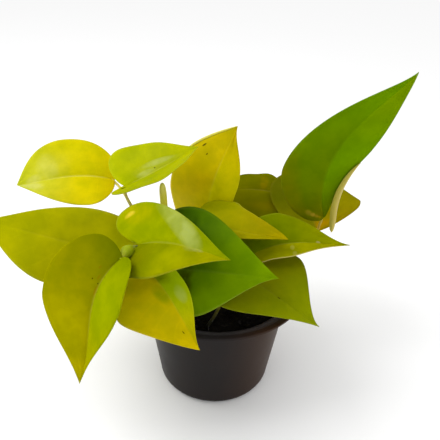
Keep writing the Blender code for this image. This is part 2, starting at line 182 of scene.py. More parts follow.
class SoilSettings(bpy.types.PropertyGroup):
    crumbs: IntProperty(name="Crumbs", description="Loose crumbs on the soil", default=260, min=0)
    relief: FloatProperty(
        name="Relief", description="Height of the crumbly surface", subtype="DISTANCE",
        default=0.0011, min=0.0)
    colour: FloatVectorProperty(
        name="Colour", description="Colour of the damp soil", subtype="COLOR",
        default=(0.0045, 0.0035, 0.0025))


class StemSettings(bpy.types.PropertyGroup):
    voxel: FloatProperty(
        name="Blend size", description="Cell size that grows the petioles into their stem",
        subtype="DISTANCE", default=0.0003, min=0.0001)
    colour: FloatVectorProperty(
        name="Colour", description="Colour of the green stems", subtype="COLOR", default=(0.40, 0.38, 0.03))
    warm: FloatVectorProperty(
        name="Warm colour", description="Colour of the sunny side of the stems", subtype="COLOR",
        default=(0.50, 0.38, 0.05))
    young: FloatVectorProperty(
        name="Young colour", description="Colour of the juiciest stems", subtype="COLOR",
        default=(0.28, 0.35, 0.0))
    # Partly painted light: the petioles under the top leaves get this pale colour against the shade the blades
    # above cast on them, and also for their pale, translucent flesh.
    pale: FloatVectorProperty(
        name="Pale colour", description="Colour of the thinnest petioles", subtype="COLOR",
        default=(0.75, 0.68, 0.20))
    ripe: FloatVectorProperty(
        name="Ripe colour", description="Colour of the oldest petioles", subtype="COLOR",
        default=(0.45, 0.22, 0.01))


class BladeSettings(bpy.types.PropertyGroup):
    rows: IntProperty(name="Rows", description="Rows of faces from base to tip", default=96, min=12)
    half_columns: IntProperty(
        name="Half columns", description="Columns of faces in each half", default=20, min=4)
    thickness: FloatProperty(
        name="Thickness", description="Thickness of a blade at its midrib", subtype="DISTANCE",
        default=0.0007, min=0.0002)
    margin: FloatProperty(
        name="Margin", description="Share of the thickness that is left at the edge", subtype="FACTOR",
        default=0.45, min=0.1, max=1.0)
    rib_depth: FloatProperty(
        name="Rib depth", description="How deep the midrib is sunk in the upper face", subtype="DISTANCE",
        default=0.0004, min=0.0)
    quilting: FloatProperty(
        name="Quilting", description="How far the blade swells between its side veins", subtype="DISTANCE",
        default=0.00008, min=0.0)
    unrest: FloatProperty(
        name="Unrest", description="Height of the blade's broad unevenness", subtype="DISTANCE",
        default=0.0005, min=0.0)
    veins: IntProperty(name="Side veins", description="Side veins in each half", default=9, min=1)


class StageSettings(bpy.types.PropertyGroup):
    floor: FloatVectorProperty(
        name="Floor", description="Colour of the floor", subtype="COLOR", default=(0.93, 0.93, 0.93))
    sky: FloatProperty(name="Sky", description="Strength of the light from all round", default=1.0, min=0.0)
    key: FloatProperty(
        name="Key", description="Power of the soft light overhead", subtype="POWER", default=3.5, min=0.0)
    focal: FloatProperty(
        name="Focal length", description="Focal length of the camera, in mm", default=42.55, min=10.0)


def percent(value):
    """Makes shares of 1 of a percentage, or of each one in a tuple."""
    return tuple(percent(part) for part in value) if isinstance(value, tuple) else value / 100


@dataclass
class Look:
    """The colours of one blade, each half at its base, middle and tip, and what marks it, all in percent.

    A colour without blue has two values. Patches are (across, along, width, height, colour, strength), spots
    (across, along, size) and the places with a wet gloss, shine, (across, along, width, height, weight).
    Some patches are painted highlights, painted shadows and painted light rather than marks of the blade,
    and in some blades the halves' colours carry painted shade at the base, in others painted light.
    Across goes from -100 at the left edge to 100 at the right one, along from 0 at the base to 100 at the
    tip.
    """

    right: tuple
    left: tuple
    slot: str
    mottle: float = 16
    gloss: float = 2
    rib: tuple = (55, 55, 8)
    rib_strength: float = 35
    edge: tuple = (62, 60, 10)
    edge_strength: tuple = (7, 7)
    spots: tuple = ()
    shine: tuple = ()
    patches: tuple = ()

    def __post_init__(self):
        for name, value in list(vars(self).items()):
            if name != "slot":
                setattr(self, name, percent(value))


@dataclass
class Blade:
    """A heart-shaped leaf blade, in millimetres.

    base is where the petiole meets it, tip its far end, and right and left are the widest points of its
    halves, seen from the upper face with the tip up. arch bows the midrib towards the upper face and sway
    to the right, most at crest along it. lobe is how far each half reaches back past the base, full and
    taper shape its outline towards the tip, heel towards the base, sinus opens the notch between the lobes,
    and cup bends the halves down across, in degrees. Two values mean right and left.
    """

    base: tuple
    tip: tuple
    right: tuple
    left: tuple
    arch: float = 4.0
    sway: float = 0.0
    crest: float = 0.4
    lobe: tuple = (9.0, 9.0)
    full: tuple = (0.45, 0.45)
    taper: tuple = (0.16, 0.16)
    heel: tuple = (1.0, 1.0)
    sinus: tuple = (0.2, 0.2)
    cup: float = -15.0
    wave: float = 0.8

    def __post_init__(self):
        self.base, self.tip = Vector(self.base), Vector(self.tip)
        self.length = (self.tip - self.base).length
        self.along = (self.tip - self.base) / self.length
        self.face = Vector()
        self.side = Vector()
        marks = (Vector(self.right), Vector(self.left))
        self.shoulder = [(mark - self.base).dot(self.along) / self.length for mark in marks]
        # The bow moves the midrib along the face that it helps to find, so this settles in a few passes.
        for _ in range(6):
            arms = [mark - self.midrib(share) for mark, share in zip(marks, self.shoulder)]
            arms = [arm - self.along * arm.dot(self.along) for arm in arms]
            ways = [arm.normalized() for arm in arms]
            across = ways[0] - ways[1]
            self.side = (across - self.along * across.dot(self.along)).normalized()
            self.face = self.side.cross(self.along)
        bend = radians(self.cup) / 2
        self.half_width = [arm.length * bend / sin(bend) for arm in arms]
        self.fold = [atan2(way.dot(self.face), abs(way.dot(self.side))) - bend for way in ways]

    def midrib(self, u):
        """The point of the midrib at a share u of the blade's length, straight on behind the base."""
        steep = (1 - self.crest) / self.crest
        peak = self.crest * (1 - self.crest) ** steep
        on = min(max(u, 0.0), 1.0)
        bow = on * (1 - on) ** steep / peak + min(u, 0.0) / peak
        bowed = (self.face * self.arch + self.side * self.sway) * bow
        return self.base + self.along * (u * self.length) + bowed

    def frame(self, u):
        """The midrib's direction, the upper face's normal and the way to the right, at u."""
        step = 0.0001
        ahead = (self.midrib(u + step) - self.midrib(u - step)).normalized()
        normal = (self.face - ahead * self.face.dot(ahead)).normalized()
        return ahead, normal, ahead.cross(normal)

    def place(self, x, y, lift=0.0):
        """Where the flat blade's point (x, y) lies once the blade is bowed, folded, cupped and waved."""
        hand = 1 if x < 0 else 0
        width = self.half_width[hand]
        fold = self.fold[hand]
        curl = radians(self.cup) / width
        u = y / self.length
        _, normal, right = self.frame(u)
        turned_by = fold + curl * abs(x)
        out = (sin(turned_by) - sin(fold)) / curl
        rise = (cos(fold) - cos(turned_by)) / curl
        rise += self.wave * (x / width) ** 2 * sin(3 * pi * u + 1.3 * hand)
        return self.midrib(u) + right * copysign(out, x) + normal * (rise + lift)

    def edge(self, hand, k):
        """The flat outline of one half at k, from 0 at the base round the lobe to 1 at the tip."""
        width = self.half_width[hand]
        lobe = self.lobe[hand]
        widest = Vector((width, self.shoulder[hand] * self.length))
        if k <= LOBE_SHARE:
            back = self.heel[hand] * (widest.y + 1.33 * lobe)
            return curve(Vector((0, 0)), Vector((self.sinus[hand] * width, -1.25 * lobe)),
                         Vector((width, widest.y - back)), widest, k / LOBE_SHARE)
        rest = self.length - widest.y
        return curve(widest, widest + Vector((0, self.full[hand] * rest)),
                     Vector((self.taper[hand] * width, self.length - 0.3 * rest)),
                     Vector((0, self.length)), (k - LOBE_SHARE) / (1 - LOBE_SHARE))

    def flat(self, s, k):
        """The flat point at s, from -1 at the left edge to 1 at the right one, in the row k of 0 to 1."""
        edge = self.edge(0 if s >= 0 else 1, k)
        middle = self.length * k ** ROW_FAN
        share = abs(s)
        # The rows sag towards the base between midrib and edge, as a leaf's side veins do.
        lag = 0.2 * edge.x * share * (1 - share) * sin(pi * k)
        x = copysign(edge.x * share, s) if s else 0.0
        return x, middle + (edge.y - middle) * share - lag


def curve(a, b, c, d, t):
    """A point of the cubic curve with ends a and d and handles b and c."""
    s = 1.0 - t
    return a * s ** 3 + b * 3 * s * s * t + c * 3 * s * t * t + d * t ** 3


LEAVES = {
    # The three pale patches near the tip are painted highlights.
    "leaf_upper_left": (
        Blade((-65, 32, 116.5), (-122, 26, 113.5), (-97.5, 52, 134), (-76, 12, 109.5), arch=2, sway=2.5,
              lobe=(5, 3), full=(0.26, 0.52), taper=(0.8, 0.43), heel=(0.52, 0.88)),
        Look(((60, 48), (49, 44), (46, 47, 1)), ((60, 46), (54, 46), (44, 45, 2)), "leaf_yellow",
             rib=(66, 62, 12), edge=(50, 46, 5), shine=((35, 74, 50, 20, 8), (-50, 88, 50, 12, 12)),
             patches=((38, 76, 50, 10, (60, 62, 22), 20), (10, 88, 30, 7, (60, 62, 28), 25),
                      (-50, 90, 45, 12, (60, 62, 28), 30)))),
    # The two pale patches beside the midrib are painted highlights.
    "leaf_upper_middle": (
        Blade((-54.5, 14, 121.5), (-13.5, 20, 144.5), (-31.5, 3, 132.5), (-59.5, 36, 135), arch=-2, sway=-1,
              lobe=(14, 4.5), full=(0.8, 0.39), taper=(0.8, 0.33), heel=(0.73, 1.3), sinus=(0.08, 0.1)),
        Look(((28, 30), (27, 30), (30, 31)), ((38, 42), (34, 37), (36, 38)), "leaf_lime",
             spots=((56, 25, 3), (-10, 59, 0.8)), shine=((-15, 60, 20, 30, 8),),
             patches=((-8, 47, 10, 14, (50, 55, 20), 30), (-24, 66, 12, 18, (50, 55, 20), 30)))),
    # The bright base colours and both patches are painted light, brightening the lower blade where the leaves
    # in front shade it.
    "leaf_back_centre": (
        Blade((-8, 30, 99), (8.5, 42, 149.5), (9, 26, 113.5), (-31.5, 44, 113.5), arch=8, sway=-0.5,
              lobe=(12, 20), full=(0.57, 0.51), taper=(0.1, 0.68), heel=(1.15, 1.3)),
        Look(((68, 68), (53, 48), (45, 35)), ((68, 54), (51, 40), (42, 34)), "leaf_yellow", rib_strength=12,
             edge=(60, 56, 8), spots=((-72, 79, 1.4), (-45, 74, 0.8)),
             patches=((30, 30, 120, 25, (85, 78), 60), (-50, 35, 50, 20, (70, 55), 50)))),
    "leaf_far_left": (
        Blade((-55.5, -12, 91), (-124, -18, 115), (-66.5, 9, 107), (-90.5, -30, 84), arch=1, sway=-0.5,
              lobe=(5.5, 6), full=(0.44, 0.4), taper=(0.31, 0.48), heel=(1.14, 1)),
        Look(((45, 45), (30, 29), (37, 36)), ((36, 34), (37, 35), (39, 38)), "leaf_lime", rib=(48, 42, 2),
             rib_strength=15)),
    # The right half's dark base is painted shade, lit again by the broad lighter patch further up. The small
    # brown patches are specks of its own.
    "leaf_front_left": (
        Blade((-47, -42, 110), (-68, -66, 49), (-87.5, -44, 92.5), (-43, -76, 103.5), arch=7, sway=2,
              crest=0.3, lobe=(3.5, 3.5), full=(0.18, 0.34), taper=(0.32, 0.03), heel=(0.88, 0.35),
              sinus=(0.34, 0.25)),
        Look(((14, 16), (26, 24), (33, 29)), ((18, 22), (22, 26), (24, 23)), "leaf_lime", gloss=0,
             rib=(40, 36, 4), rib_strength=25, edge_strength=(0, 0),
             spots=((17, 39, 0.5), (4, 39, 0.5), (-6, 45, 0.5)),
             patches=((3, 44, 3, 5, (24, 13), 80), (9, 35, 3, 3, (24, 13), 70), (20, 30, 3, 2, (24, 13), 60),
                      (50, 66, 70, 20, (40, 36), 40)))),
    # The dark right base and the dark patch on the lower lobe are a painted shadow, and the bright patch
    # beyond it is painted light. The pale patches across the upper half, on its lobe and at the fold are
    # painted highlights.
    "leaf_left_centre": (
        Blade((-40, -30, 110.5), (5.5, -56, 120.5), (-38, -54, 106.5), (-43.5, -2, 118.5), arch=2.5, sway=-2,
              lobe=(5, 30), full=(0.32, 0.26), taper=(0.16, 0.27), heel=(0.95, 0.15), sinus=(0.7, 0.6)),
        Look(((14, 16), (19, 21), (25, 25)), ((25, 29), (24, 28), (21, 25)), "leaf_lime", gloss=0,
             rib_strength=12, shine=((-50, 73, 60, 12, 6),),
             patches=((-75, 45, 40, 20, (36, 32), 60), (-78, 39, 8, 10, (70, 50, 3), 60),
                      (-50, 73, 75, 12, (38, 44, 12), 55), (5, 78, 12, 5, (45, 46, 20), 15),
                      (55, 32, 50, 20, (16, 15), 50), (60, 64, 70, 14, (32, 33), 60)))),
    # The left half's dark base and the dark patch beside it are the painted shadow of the leaf above. The pale
    # patch is a painted highlight.
    "leaf_front_centre": (
        Blade((-39.5, -30, 97.5), (-7.5, -66, 74.5), (-47, -62, 87.5), (-18.5, -36, 95.5), arch=4.5, sway=-1,
              lobe=(12, 9), full=(0.22, 0.43), taper=(0.44, 0.08)),
        Look(((42, 36), (54, 45), (50, 39)), ((11, 15), (38, 50), (42, 36)), "leaf_yellow", rib_strength=10,
             spots=((28, 86, 1),), shine=((-55, 60, 30, 10, 5),),
             patches=((10, 55, 17, 13, (27, 33), 85), (-55, 61, 34, 8, (45, 52, 12), 45),
                      (-30, 36, 50, 16, (5, 7), 90)))),
    # The dark base colours and the dark patches along both halves are the painted shadow of the leaves above.
    "leaf_centre": (
        Blade((-31, -16, 86), (30.5, -40, 99.5), (-17.5, -40, 72.5), (-17.5, 3, 115.5), arch=4.5,
              lobe=(9, 10), full=(0.38, 0.38), taper=(0.07, 0.32), heel=(1, 1.1), cup=-22),
        Look(((2, 4), (10, 19), (15, 25)), ((3.5, 7), (5, 11), (14, 24)), "leaf_green", mottle=18, gloss=1,
             rib=(16, 26, 2), rib_strength=20, edge=(30, 36, 4), edge_strength=(30, 5),
             patches=((80, 55, 50, 30, (17, 29), 60), (10, 43, 40, 9, (3, 3.5), 90),
                      (45, 49, 30, 6, (4, 4.5), 90), (70, 52, 20, 4.5, (6, 7), 80),
                      (-95, 43, 25, 9, (2, 5), 90), (-75, 50, 25, 9, (2, 5), 90),
                      (-55, 57, 20, 8, (2, 5), 70), (-40, 63, 15, 7, (2, 5), 50)))),
    "leaf_middle_right": (
        Blade((-11.5, 8, 107.5), (37, -14, 106.5), (-0.5, -12, 107), (5.5, 17, 113), arch=3, sway=7,
              full=(0.32, 0.18), taper=(0.25, 0.6)),
        Look(((24, 23), (25, 23), (30, 25)), ((25, 26), (25, 24), (31, 25)), "leaf_yellow", rib=(30, 27, 2),
             rib_strength=10, edge=(34, 28, 2))),
    # Its dark olive colours are partly the blade's own tone and partly painted shade, as it lies behind the
    # leaves in front.
    "leaf_back_right": (
        Blade((41.5, 50, 100.5), (-3, 56, 100), (29, 82, 101.5), (20.5, 34, 97.5), arch=3.5, sway=-1,
              lobe=(6, 6), full=(0.78, 0.5), taper=(0.47, 0.3), heel=(1.1, 1)),
        Look(((11, 11.5), (10, 10), (11, 11)), ((16, 16), (14, 14), (12, 12)), "leaf_green", gloss=0,
             rib=(18, 16, 2), edge=(16, 16, 2),
             patches=((-62, 39, 30, 25, (20, 15), 45), (30, 50, 50, 5, (22, 15), 40)))),
    "leaf_top_right": (
        Blade((60.5, 14, 105.5), (96, 10, 192), (82.5, 12, 151.5), (35.5, 16, 139.5), arch=3.5, sway=-15.5,
              crest=0.42, lobe=(28, 4.5), full=(0.45, 0.1), taper=(0.36, 0.23), heel=(0.15, 0.64),
              sinus=(0.14, 0.16)),
        Look(((8, 12), (13, 25), (16, 26)), ((12, 13), (11, 18), (12, 24)), "leaf_green", gloss=0,
             rib=(12, 22, 1), rib_strength=5, edge=(20, 22, 3),
             patches=((-66, 23, 15, 4, (62, 36, 3), 30), (-60, 19, 15, 3, (62, 36, 3), 50),
                      (-54, 15, 15, 3, (60, 32, 2), 50), (-47, 11, 15, 4, (50, 28), 40),
                      (-95, 40, 50, 25, (19, 16), 60)))),
    "leaf_behind_right": (
        Blade((60, 24, 90), (61, 68, 117), (88.5, 42, 104), (31, 44, 107), arch=1.5, sway=-3.5, lobe=(1, 3),
              full=(0.1, 0.35), taper=(0.03, 0.13), heel=(0.82, 0.5)),
        Look(((32, 23), (23, 20), (22, 19)), ((25, 23), (12, 13), (10, 11)), "leaf_lime", rib=(30, 25, 2),
             edge=(34, 22, 2), patches=((30, 20, 40, 12, (50, 27), 70),))),
    "leaf_right": (
        Blade((19, -4, 89.5), (72, -10, 102), (34, -14, 94.5), (33, 12, 109), arch=3, sway=-3, lobe=(7.5, 8),
              full=(0.38, 0.12), taper=(0.03, 0.03), heel=(1.04, 0.86)),
        Look(((27, 30), (27, 27), (26, 25)), ((17, 24), (14, 18), (25, 26)), "leaf_green", gloss=0,
             rib=(30, 30, 3), edge=(52, 45, 12), edge_strength=(90, 3),
             patches=((38, 59, 30, 2.2, (45, 42, 8), 40), (85, 60, 20, 2.2, (50, 44, 10), 45),
                      (-5, 79, 14, 2, (50, 38, 20), 40)))),
    # The bright base of the left half is painted light, lifting it where the leaf above and the pot shade it.
    "leaf_lower_right": (
        Blade((8, -3, 80), (53.5, -44, 72.5), (2, -42, 82), (45, -2, 88.5), arch=5, sway=3.5, lobe=(12, 6),
              full=(0.1, 0.42), taper=(0.16, 0.06)),
        Look(((18, 19), (17, 19), (20, 23.5)), ((50, 44), (17, 18), (19, 23)), "leaf_green", rib=(20, 20, 2),
             rib_strength=15, edge=(28, 28, 4), spots=((0, 72, 1),))),
}


@dataclass
class Hem:
    """A margin that curls forward: its blade, which half, from where to where, and its width in mm."""

    node: str
    hand: int
    start: float
    end: float
    width: float
    taper: float
    bulge: float
    rise: float
    colour: tuple
    inner: tuple


HEMS = {
    "hem_top_right": Hem(
        "leaf_top_right", 0, 0.085, 0.41, 4.0, 0.6, 0.3, 0.5, (0.50, 0.40, 0.08), (0.34, 0.30, 0.04)),
    "hem_back_centre": Hem(
        "leaf_back_centre", 1, 0.62, 0.995, 1.4, 0.4, 0.2, 0.0, (0.58, 0.54, 0.10), (0.48, 0.44, 0.04)),
}
# These fine blades differ a little from their solids. The top right one ends where its hem takes over.
TRIMMED = {
    "leaf_front_left": replace(LEAVES["leaf_front_left"][0], lobe=(3.5, 5)),
    "leaf_far_left": replace(LEAVES["leaf_far_left"][0], lobe=(13.5, 6)),
    "leaf_back_right": replace(LEAVES["leaf_back_right"][0], left=(20.5, 31, 95.5)),
    "leaf_top_right": replace(
        LEAVES["leaf_top_right"][0], right=(82, 12.8, 150), lobe=(-1.1, 4.5), heel=(0.26, 0.64),
        sinus=(0.3, 0.16), full=(0.38, 0.1), taper=(0.35, 0.23)),
}


@dataclass
class Route:
    """A round stem or petiole along one cubic curve: its two ends, the two handles and the radii, in mm."""

    start: tuple
    handle_a: tuple
    handle_b: tuple
    end: tuple
    radius: float
    end_radius: float
    buried: bool
    joint: bool = True
    knee: float = 0.0


def petiole(start, handle_a, handle_b, leaf, radius=PETIOLE_RADIUS, end_radius=PETIOLE_TIP_RADIUS,
            buried=False, knee=0.0):
    """A petiole that grows into the underside of a leaf's base, thicker by knee where it bends there."""
    blade = LEAVES[leaf][0]
    u = PETIOLE_REACH / blade.length
    _, normal, _ = blade.frame(u)
    end = blade.midrib(u) - normal * PETIOLE_DEPTH
    return Route(start, handle_a, handle_b, tuple(end), radius, end_radius, buried, knee=knee)


def stem(start, handle_a, handle_b, end):
    """A stem that stands in the soil."""
    return Route(start, handle_a, handle_b, end, STEM_RADIUS, 0.8 * STEM_RADIUS, buried=True, joint=False)


VINES = {
    "vine_left_front": [
        stem((-34, -5.5, STEM_START), (-36, -6, 68), (-40, -9, 76), (-41, -12, 84)),
        petiole((-40.9, -11.5, 83), (-42.5, -8, 86), (-49, -7.5, 86), "leaf_far_left"),
        petiole((-40.9, -11.5, 83), (-39.5, -16, 103.5), (-44.5, -29, 111), "leaf_front_left", 1.5, 1,
                knee=2.2),
        petiole((-40.9, -11.5, 83), (-40, -14, 96), (-39, -20, 104), "leaf_left_centre"),
        petiole((-39.3, -8.3, 73.5), (-42, -14, 82), (-42, -22, 90), "leaf_front_centre"),
    ],
    "vine_left_back": [
        stem((-30, 14, STEM_START), (-32, 14, 72), (-39, 11, 84), (-44, 8, 98)),
        petiole((-43.7, 8.2, 97), (-54, 13.5, 112), (-57.5, 28, 111.5), "leaf_upper_left", 1.05, 0.8),
        petiole((-43.7, 8.2, 97), (-49.5, 12, 107), (-58.5, 13, 118.5), "leaf_upper_middle", 1.05, 0.8),
    ],
    "vine_middle": [
        stem((-14, 10, STEM_START), (-15, 10, 72), (-22, 12, 86), (-32.5, 14, 106)),
        petiole((-16, 10.3, 72), (-13, 26.5, 78), (-7.5, 38.5, 89), "leaf_back_centre"),
        petiole((-14.6, 10, 64), (-12, 13, 78), (-15, 14, 98), "leaf_middle_right"),
    ],
    "stem_centre": [
        petiole((-20, -8, STEM_START), (-23, -8, 68), (-36, -10, 78), "leaf_centre", buried=True),
    ],
    "vine_right": [
        stem((22, 14, STEM_START), (25, 15, 68), (36, 16, 74), (42, 18, 79)),
        petiole((41.5, 17.8, 78.5), (58, 16.5, 82.5), (59.5, 19, 96), "leaf_top_right"),
        petiole((41.5, 17.8, 78.5), (48, 17, 82), (57, 18, 83), "leaf_behind_right"),
        petiole((34.5, 16, 72.5), (42, 24, 78), (49, 40, 84), "leaf_back_right"),
    ],
    "stem_right": [
        petiole((11.5, 14, STEM_START), (11.5, 13, 74), (10.5, 9.5, 87.5), "leaf_right", buried=True),
    ],
    "stem_lower_right": [
        petiole((-5, -33, STEM_START), (2, -28, 68.5), (6, -14, 73), "leaf_lower_right", buried=True),
    ],
}


def arithmetic(operation):
    """The methods for wire + other and other + wire, with any operation for the plus."""
    return (lambda wire, other: wire.math(operation, wire, other),
            lambda wire, other: wire.math(operation, other, wire))


class Wire:
    """A shader socket that does arithmetic: each operation adds its Math node."""

    __add__, __radd__ = arithmetic("ADD")
    __sub__, __rsub__ = arithmetic("SUBTRACT")
    __mul__, __rmul__ = arithmetic("MULTIPLY")
    __truediv__, __rtruediv__ = arithmetic("DIVIDE")
    __pow__, __rpow__ = arithmetic("POWER")

    def __init__(self, finish, socket):
        self.finish = finish
        self.socket = socket

    def math(self, operation, *values):
        return self.finish.node("ShaderNodeMath", {"operation": operation}, dict(enumerate(values)))

    def __abs__(self):
        return self.math("ABSOLUTE", self)

    def fraction(self):
        return self.math("FRACT", self)

    def above(self, low, high):
        """0 up to low, 1 from high on, and a smooth step between. With low over high it falls instead."""
        first, last = (0, 1) if low < high else (1, 0)
        return self.finish.node("ShaderNodeMapRange", {"interpolation_type": "SMOOTHSTEP"},
                                {0: self, 1: min(low, high), 2: max(low, high), 3: first, 4: last})


class Finish:
    """A Principled material under construction."""

    def __init__(self, name, **settings):
        self.material = bpy.data.materials.new(name)
        self.material.use_nodes = True
        self.tree = self.material.node_tree
        self.shader = self.tree.nodes["Principled BSDF"]
        self.feed(**settings)
        self.where = self.node("ShaderNodeTexCoord", None, None, "Object")
        self.colour = None

    def node(self, kind, settings=None, inputs=None, output=0):
        """Adds a node: its settings first, then the values or links of its sockets."""
        made = self.tree.nodes.new(kind)
        for key, value in (settings or {}).items():
            setattr(made, key, value)
        for key, value in (inputs or {}).items():
            self.plug(value, made.inputs[key])
        return Wire(self, made.outputs[output])

    def plug(self, value, socket):
        """Links a wire or sets a value. A colour of two values gets a blue of 0."""
        if isinstance(value, Wire):
            self.tree.links.new(value.socket, socket)
        elif socket.type == "RGBA":
            socket.default_value = (*value, 0)[:3] + (1,)
        else:
            socket.default_value = value

    def mix(self, factor, first, second, blend="MIX"):
        """A colour between two colours, or one blended over the other."""
        return self.node("ShaderNodeMix", {"data_type": "RGBA", "blend_type": blend, "clamp_result": True},
                         {0: factor, 6: first, 7: second}, 2)

    def noise(self, scale, detail=2, roughness=0.5, where=None):
        return self.node("ShaderNodeTexNoise", None, {"Vector": where or self.where, "Scale": scale,
                                                      "Detail": detail, "Roughness": roughness})

    def streaks(self, across, along):
        """Noise that is stretched, with one scale across and another along Z."""
        stretched = self.node("ShaderNodeMapping", {"vector_type": "POINT"},
                              {"Vector": self.where, "Scale": (across, across, along)})
        return self.noise(1, where=stretched)

    def split(self, vector):
        split = self.node("ShaderNodeSeparateXYZ", None, {0: vector})
        return [Wire(self, output) for output in split.socket.node.outputs]

    def unwrapped(self):
        """The two coordinates of the piece's own UV map."""
        return self.split(self.node("ShaderNodeUVMap", {"uv_map": "UVMap"}))[:2]

    def paint(self, factor, tint):
        """Lays a tint over the colour so far."""
        self.colour = self.mix(factor, self.colour, tint)

    def done(self, roughness, relief, strength, distance, **sockets):
        """Feeds the shader its colour, roughness and relief, and gives back the material."""
        bump = self.node("ShaderNodeBump", None,
                         {"Height": relief, "Strength": strength, "Distance": distance})
        return self.feed(Base_Color=self.colour, Roughness=roughness, Normal=bump, **sockets)

    def feed(self, **sockets):
        for socket, value in sockets.items():
            self.plug(value, self.shader.inputs[socket.replace("_", " ")])
        return self.material


def select(*things):
    """Selects these objects and no other, and makes the first the active one."""
    bpy.ops.object.select_all(action="DESELECT")
    for thing in things:
        thing.select_set(True)
    bpy.context.view_layer.objects.active = things[0]


def join(*things):
    """Joins objects into the first of them."""
    select(*things)
    if len(things) > 1:
        bpy.ops.object.join()
    return things[0]


@contextmanager
def editing(thing):
    """Edit mode, with the whole mesh selected."""
    select(thing)
    bpy.ops.object.mode_set(mode="EDIT")
    bpy.ops.mesh.select_all(action="SELECT")
    yield
    bpy.ops.object.mode_set(mode="OBJECT")


def tidy(thing, weld=0):
    """Welds points that lie closer than weld, and makes the faces agree on their outside."""
    with editing(thing):
        if weld:
            bpy.ops.mesh.remove_doubles(threshold=weld)
        bpy.ops.mesh.normals_make_consistent(inside=False)


def modify(thing, kind, **settings):
    """Adds a modifier with these settings and applies it."""
    select(thing)
    modifier = thing.modifiers.new(kind.title(), kind)
    for key, value in settings.items():
        setattr(modifier, key, value)
    bpy.ops.object.modifier_apply(modifier=modifier.name)


def grid(columns, rows):
    """A flat grid with a UV map, whose X and Y go from -1 to 1."""
    bpy.ops.mesh.primitive_grid_add(x_subdivisions=columns, y_subdivisions=rows, size=2, calc_uvs=True)
    return bpy.context.object


def added(name, data):
    """Puts new data into the scene as an object."""
    made = bpy.data.objects.new(name, data)
    bpy.context.scene.collection.objects.link(made)
    return made


def finished(thing, name, material, node):
    """Names a piece, settles it at the origin, and gives it its finish, body and replaced node."""
    select(thing)
    bpy.ops.object.transform_apply(location=True, rotation=True, scale=True)
    thing.name = name
    thing.data.name = name
    thing.data.materials.clear()
    thing.data.materials.append(material)
    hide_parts(node)
    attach(thing, BODY)


def turn_faces(thing):
    with editing(thing):
        bpy.ops.mesh.flip_normals()


def face_outward(thing):
    """Turns a closed piece's faces outward where the recalculation took its inside for its outside."""
    form = bmesh.new()
    form.from_mesh(thing.data)
    volume = form.calc_volume(signed=True)
    form.free()
    if volume < 0:
        turn_faces(thing)


def arc(centre, radius, start, stop, count):
    """Points (radius, height) along an arc, angles in degrees from +radius towards +height."""
    angles = [radians(start + (stop - start) * i / count) for i in range(count + 1)]
    return [(centre[0] + radius * cos(a), centre[1] + radius * sin(a)) for a in angles]


def wall_radius(height):
    """The outer radius of the straight wall at a height, or of its line past the neck."""
    share = (height - FOOT_ROUND) / (POT_HEIGHT - NECK_DROP - FOOT_ROUND)
    return FOOT_RADIUS + (NECK_RADIUS - FOOT_RADIUS) * share


def inner_radius(height):
    return wall_radius(height) - WALL


def well(count, gap=0):
    """The rounded inside of the foot down to the floor, or what stands a gap off it."""
    return arc((inner_radius(FLOOR + CORNER) - CORNER - gap, FLOOR + gap + CORNER), CORNER, 0, -90, count)


def climb(profile):
    """Extrudes the selected ring or cap from one (radius, height) point of the profile to the next."""
    for (radius, height), (next_radius, next_height) in zip(profile, profile[1:]):
        bpy.ops.mesh.extrude_region_move(
            TRANSFORM_OT_translate={"value": (0, 0, (next_height - height) * MM)})
        share = next_radius / radius
        bpy.ops.transform.resize(value=(share, share, 1), center_override=(0, 0, next_height * MM))


def flare(count):
    """The outside of the trumpet rim, from the neck up to the rim's edge."""
    neck = POT_HEIGHT - NECK_DROP
    ends = (
        Vector((NECK_RADIUS, neck)),
        Vector((wall_radius(neck + FLARE_START), neck + FLARE_START)),
        Vector((RIM_RADIUS - FLARE_END[0], POT_HEIGHT - FLARE_END[1])),
        Vector((RIM_RADIUS, POT_HEIGHT - EDGE_BOTTOM)),
    )
    return [tuple(curve(*ends, i / count)) for i in range(count + 1)]


def swelling(distance, size, length):
    """The height of a bell-shaped swelling at a distance from its middle."""
    return size * exp(-(distance / length) ** 2)


class PlantOperator:
    """What the operators share."""

    bl_options = {"REGISTER", "UNDO"}


